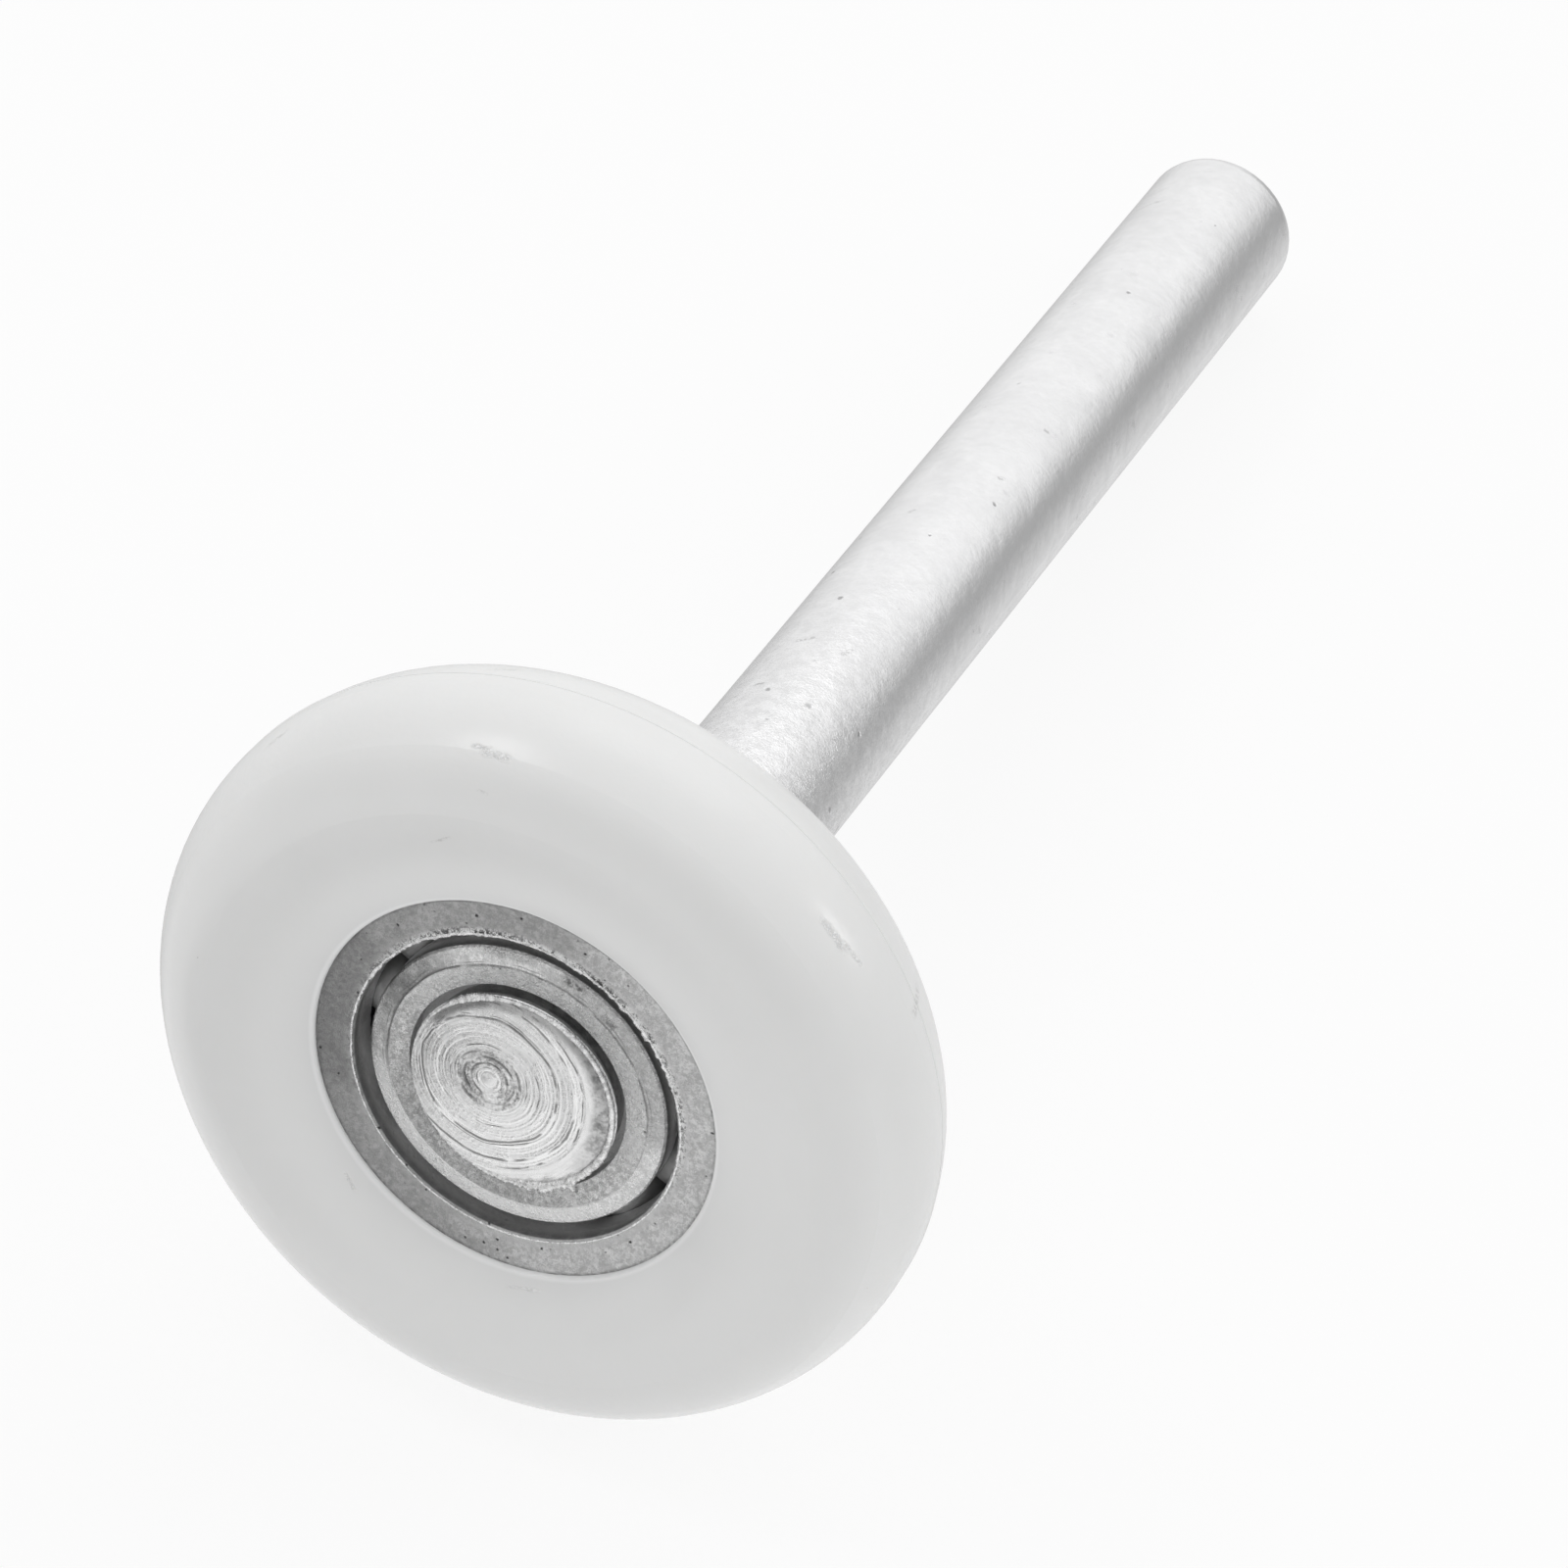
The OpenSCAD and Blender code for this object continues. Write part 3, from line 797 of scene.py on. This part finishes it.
def make_world():
    """Light tent: pale all round, darker towards the horizon behind the roller on the right."""
    world = bpy.data.worlds.new("light_tent")
    bpy.context.scene.world = world
    world.use_nodes = True
    world.node_tree.nodes.clear()
    n = Nodes(world.node_tree)
    out = n.add("ShaderNodeOutputWorld")
    way = n.add("ShaderNodeTexCoord").outputs["Generated"]
    part = n.split(way)
    height = n.spread(part["Z"], 0.08, 0.52)
    right = n.spread(n.vector("DOT_PRODUCT", way, (0.62, 0.78, 0.0), out=1), 0.35, 0.9)
    behind = n.spread(part["Y"], 0.0, 0.7)
    rear = n.minus(0.88, n.times(right, 0.46))
    horizon = n.plus(n.times(behind, n.minus(rear, 0.61)), 0.61)
    back = n.spread(n.vector("DOT_PRODUCT", way, (0.1, 0.75, 0.65), out=1), -0.7, 0.8)
    dome = n.plus(0.41, n.times(back, 0.55))
    level = n.add("ShaderNodeMix", {"Factor": height}, data_type="FLOAT")
    n.feed(level.inputs[2], horizon)
    n.feed(level.inputs[3], dome)
    # Lit from below as well, through the pale floor
    below = n.spread(part["Z"], -0.08, -0.25)
    lit = n.plus(level.outputs[0], n.times(below, 0.45))
    tent = n.add("ShaderNodeBackground", {"Color": grey(1.0), "Strength": lit})
    white = n.add("ShaderNodeBackground", {"Color": grey(1.0), "Strength": 1.0})
    rays = n.add("ShaderNodeLightPath").outputs
    seen = n.most(rays["Is Camera Ray"], rays["Is Transmission Ray"])
    both = n.blend(seen, tent, white)
    n.feed(out.inputs["Surface"], both.outputs[0])


def way_to(azimuth, elevation):
    """Unit vector from the roller: azimuth 0 is towards -Y and 90 towards +X, in degrees."""
    a, e = math.radians(azimuth), math.radians(elevation)
    return Vector((math.sin(a) * math.cos(e), -math.cos(a) * math.cos(e), math.sin(e)))


def make_softbox(name, azimuth, elevation, distance, width, height, watts):
    """Rectangular lamp that faces the front part of the stem."""
    data = bpy.data.lights.new(name, "AREA")
    data.shape = "RECTANGLE"
    data.size, data.size_y, data.energy = width, height, watts
    lamp = bpy.data.objects.new(name, data)
    way = way_to(azimuth, elevation)
    lamp.location = Vector((0, STEM_LEN * LIGHTS_AIM, 0)) + way * distance
    lamp.rotation_mode = "QUATERNION"
    lamp.rotation_quaternion = way.to_track_quat("Z", "Y")
    bpy.context.scene.collection.objects.link(lamp)
    return lamp


def make_camera():
    """Looks from the right and above at the middle of the roller, leaning a little."""
    target = Vector((0.9 * MM, STEM_LEN * CAMERA_AIM, -0.4 * MM))
    azimuth, elevation, distance, roll = 19.63, 36.04, 0.4383, 7.83
    data = bpy.data.cameras.new("camera")
    data.sensor_width = 36.0
    data.lens = 160.0
    camera = bpy.data.objects.new("camera", data)
    way = way_to(azimuth, elevation)
    camera.location = target + way * distance
    camera.rotation_mode = "QUATERNION"
    turn = way.to_track_quat("Z", "Y").to_matrix() @ Matrix.Rotation(math.radians(roll), 3, "Z")
    camera.rotation_quaternion = turn.to_quaternion()
    bpy.context.scene.collection.objects.link(camera)
    bpy.context.scene.camera = camera
    return camera


# ---------------------------------------------------------------- the roller
def dress(names, material):
    """Gives CAD nodes that stay a finish of their own."""
    for name in names:
        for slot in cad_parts[name].material_slots:
            slot.material = material


BALLS = sorted(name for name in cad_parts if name.startswith("ball_"))
dress(["tyre"], make_nylon())
dress(["outer_race"], make_race_steel())
dress(["inner_race_front", "inner_race_rear"], make_inner_steel())
dress(["stem"], make_zinc())
dress(BALLS, make_ball_steel())

rng = np.random.default_rng(7)


def wobble(angle, turns, seed):
    """Smooth closed ripple of an angle, between about -1 and 1, made of a few whole turns."""
    local = np.random.default_rng(seed)
    total = np.zeros_like(angle)
    weight = 0.0
    for count in turns:
        share = 1.0 / math.sqrt(count)
        total += share * np.sin(count * angle + local.uniform(0, 2 * math.pi))
        weight += share * share
    return total / math.sqrt(weight) * 0.8


def grid_piece(name, places, material, body, backed=False):
    """Smooth mesh through a grid of places [row, column, xyz]; each row closes on itself."""
    rows, columns = places.shape[:2]
    faces = []
    for i in range(rows - 1):
        for j in range(columns):
            k = (j + 1) % columns
            low, high = i * columns, (i + 1) * columns
            faces.append((low + j, low + k, high + k, high + j))
    if backed:
        faces.append(tuple((rows - 1) * columns + j for j in range(columns)))
    mesh = bpy.data.meshes.new(name)
    mesh.from_pydata([tuple(p) for p in places.reshape(-1, 3)], [], faces)
    work = bmesh.new()
    work.from_mesh(mesh)
    bmesh.ops.remove_doubles(work, verts=work.verts, dist=1e-7)
    bmesh.ops.recalc_face_normals(work, faces=work.faces)
    work.to_mesh(mesh)
    work.free()
    mesh.shade_smooth()
    mesh.materials.append(material)
    piece = bpy.data.objects.new(name, mesh)
    bpy.context.scene.collection.objects.link(piece)
    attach(piece, body)
    return piece


BURR_COLUMNS = 1080


def grit_round(seed):
    """Random roughness round an edge, smoothed a little."""
    grit = np.random.default_rng(seed).normal(0, 1, BURR_COLUMNS)
    return (grit + np.roll(grit, 1) + np.roll(grit, -1)) / 1.7


def ring_row(radius, y, angle):
    """One row of places round the Y axis."""
    return np.stack([radius * np.cos(angle), y, radius * np.sin(angle)], axis=-1)


def make_faced_head(material):
    """Skin over the riveted head with the ridges that facing and riveting left on it."""
    columns, rows = 288, 150
    angle = np.linspace(0, 2 * math.pi, columns, endpoint=False)
    # Distance from the rings' centre to the head's edge in each direction
    cos, sin = np.cos(angle), np.sin(angle)
    along = FACED_X * cos + FACED_Z * sin
    skin_r = HEAD_R - 0.2 * MM
    edge = -along + np.sqrt(along ** 2 - (FACED_X ** 2 + FACED_Z ** 2) + skin_r ** 2)
    share = np.concatenate([[0.0], np.linspace(0.03, 1, rows - 1)])[:, None]
    out = share * edge[None, :]
    out_mm = out / MM
    dome_y = math.sqrt(DOME_R ** 2 - FLAT_R ** 2) + HEAD_FRONT
    base = np.maximum(dome_y - np.sqrt(DOME_R ** 2 - out ** 2), HEAD_FRONT)
    turn = np.broadcast_to(angle[None, :], out.shape)
    # Rings wander a little off true circles
    ring = out_mm + 0.06 * wobble(turn, (1, 2, 3), 1) * np.minimum(out_mm / 3, 1)
    ring = ring + 0.02 * wobble(turn, (5, 8, 13), 2)
    strength = 0.5 + 0.5 * wobble(turn, (1, 3, 4), 3)
    lift = 0.010 * np.sin(2 * math.pi * ring / 0.33) * strength
    lift += 0.006 * np.sin(2 * math.pi * ring / 0.21 + 2 * wobble(turn, (2, 3), 4))
    for radius, width, height, seed in FACING_RIDGES:
        fade = np.clip(0.55 + 0.65 * wobble(turn, (1, 2, 5), seed), 0, 1)
        lift += height * fade * np.exp(-(((ring - radius) / width) ** 2))
    # One band near the middle is torn, the rest is only lightly grained
    torn = np.exp(-(((out_mm - 1.6) / 0.6) ** 2))
    grain = rng.normal(0, 1, out.shape)
    for repeat in range(3):
        grain = (grain + np.roll(grain, 1, 1) + np.roll(grain, -1, 1) + np.roll(grain, 1, 0)) / 4
    lift += 0.030 * grain * torn + 0.002 * grain
    pip = 0.125 * np.clip((0.52 - out_mm) / 0.36, 0, 1)
    lift = np.maximum(lift, 0.0) + 0.012 + pip
    y = base - lift * MM
    y[0] = y[0].mean()
    y[-1] = base[-1] + 0.05 * MM
    places = np.stack([FACED_X + out * cos[None, :], y, FACED_Z + out * sin[None, :]], axis=-1)
    return grid_piece("faced_head", places, material, "stem_assembly", backed=True)


def bearing_burr(angle):
    """Burr on the outer race: heaviest on the upper right, light on the lower half."""
    top = np.exp(-(((angle - math.radians(52)) / math.radians(30)) ** 2))
    left = 0.45 * np.exp(-(((angle - math.radians(150)) / math.radians(45)) ** 2))
    return 0.12 + 0.9 * top + left


def make_race_burr(name, out, seed, tall, material):
    """Thin torn burr along the outer race's bore, on the side that out (-1 or 1) gives."""
    inner, outer = BORE_EDGE, BORE_EDGE + 0.12 * MM
    angle = np.linspace(0, 2 * math.pi, BURR_COLUMNS, endpoint=False)
    fine = grit_round(seed)
    heavy = bearing_burr(angle) + 0.25 * wobble(angle, (3, 5, 9, 14), seed + 1)
    heavy = np.clip(heavy, 0.05, 1)
    reach = 0.5 + 0.5 * wobble(angle, (23, 37, 61, 90, 133), seed + 2) + 0.25 * fine
    reach = np.clip(reach, 0, 1.6) * heavy
    spill = np.clip(0.5 + 0.4 * wobble(angle, (17, 43, 71), seed + 3), 0, 1)
    low = inner - 0.17 * MM * reach
    high = outer + 0.12 * MM * spill * heavy
    ripple = 0.6 + 0.3 * wobble(angle, (31, 47, 83), seed + 4) + 0.15 * fine
    crest = tall * (0.25 + 0.75 * heavy) * np.clip(ripple, 0.1, 1.3)
    level = np.zeros_like(angle)
    rows = []
    for radius, height in (
        (low + 0.05 * MM, level - 0.05 * MM),
        (low, 0.25 * crest),
        (0.6 * low + 0.4 * high, crest),
        (0.2 * low + 0.8 * high, 0.6 * crest),
        (high, level - 0.02 * MM),
        (low + 0.05 * MM, level - 0.05 * MM),
    ):
        rows.append(ring_row(radius, out * RACE_FACE + out * height, angle))
    return grid_piece(name, np.stack(rows), material, "wheel")


def hump(angle, middle, reach):
    """1 at the middle angle and 0 away from it, in degrees."""
    turn = np.angle(np.exp(1j * (angle - math.radians(middle))))
    return np.exp(-((turn / math.radians(reach)) ** 2))


def make_head_burr(material):
    """Metal squeezed out over the head's edge, torn at the lower right with a small tongue."""
    angle = np.linspace(0, 2 * math.pi, BURR_COLUMNS, endpoint=False)
    fine = grit_round(77)
    strong = 1.0 * hump(angle, -66, 17) + 0.35 * hump(angle, 62, 12) + 0.6 * hump(angle, 118, 14)
    strong += 0.25 * hump(angle, -105, 25) + 0.3 * hump(angle, -25, 18)
    ripple = 0.75 + 0.3 * wobble(angle, (29, 47, 83, 120), 78) + 0.15 * fine
    ripple = np.clip(ripple, 0.15, 1.5)
    tongue = hump(angle, TONGUE_TURN, 1.8)
    reach = (0.42 * strong * ripple + 0.60 * tongue) * MM
    crest = (0.03 + 0.24 * strong * ripple + 0.16 * tongue) * MM
    rim = HEAD_R - 0.18 * MM
    level = np.zeros_like(angle)
    rows = []
    for radius, y in (
        (rim - 0.25 * MM + level, HEAD_FRONT + 0.12 * MM + level),
        (rim - 0.05 * MM + level, HEAD_FRONT + 0.06 * MM - crest),
        (rim + 0.10 * MM + 0.6 * reach, HEAD_FRONT + 0.08 * MM - 0.7 * crest),
        (rim + 0.13 * MM + reach, HEAD_FRONT + 0.20 * MM + level),
        (rim + 0.05 * MM + 0.5 * reach, HEAD_FRONT + 0.30 * MM + level),
        (rim - 0.25 * MM + level, HEAD_FRONT + 0.30 * MM + level),
        (rim - 0.25 * MM + level, HEAD_FRONT + 0.12 * MM + level),
    ):
        rows.append(ring_row(radius, y, angle))
    return grid_piece("head_burr", np.stack(rows), material, "stem_assembly")


make_faced_head(make_faced_zinc())
BURR_STEEL = make_burr_steel()
make_head_burr(BURR_STEEL)
make_race_burr("race_burr_front", -1, 31, 0.11 * MM, BURR_STEEL)
make_race_burr("race_burr_rear", 1, 57, 0.10 * MM, BURR_STEEL)

make_camera()
make_world()
make_floor()
# Softboxes, each by its name, azimuth, elevation, distance, width, height and watts
for softbox in (
    ("key_softbox", -68, 57, 0.60, 0.16, 0.16, 0.30),
    ("side_softbox", 112, 28, 0.60, 0.09, 0.13, 0.15),
    ("top_softbox", 178, 62, 0.80, 0.60, 0.40, 0.4),
):
    make_softbox(*softbox)
bpy.context.scene.view_settings.view_transform = "Standard"
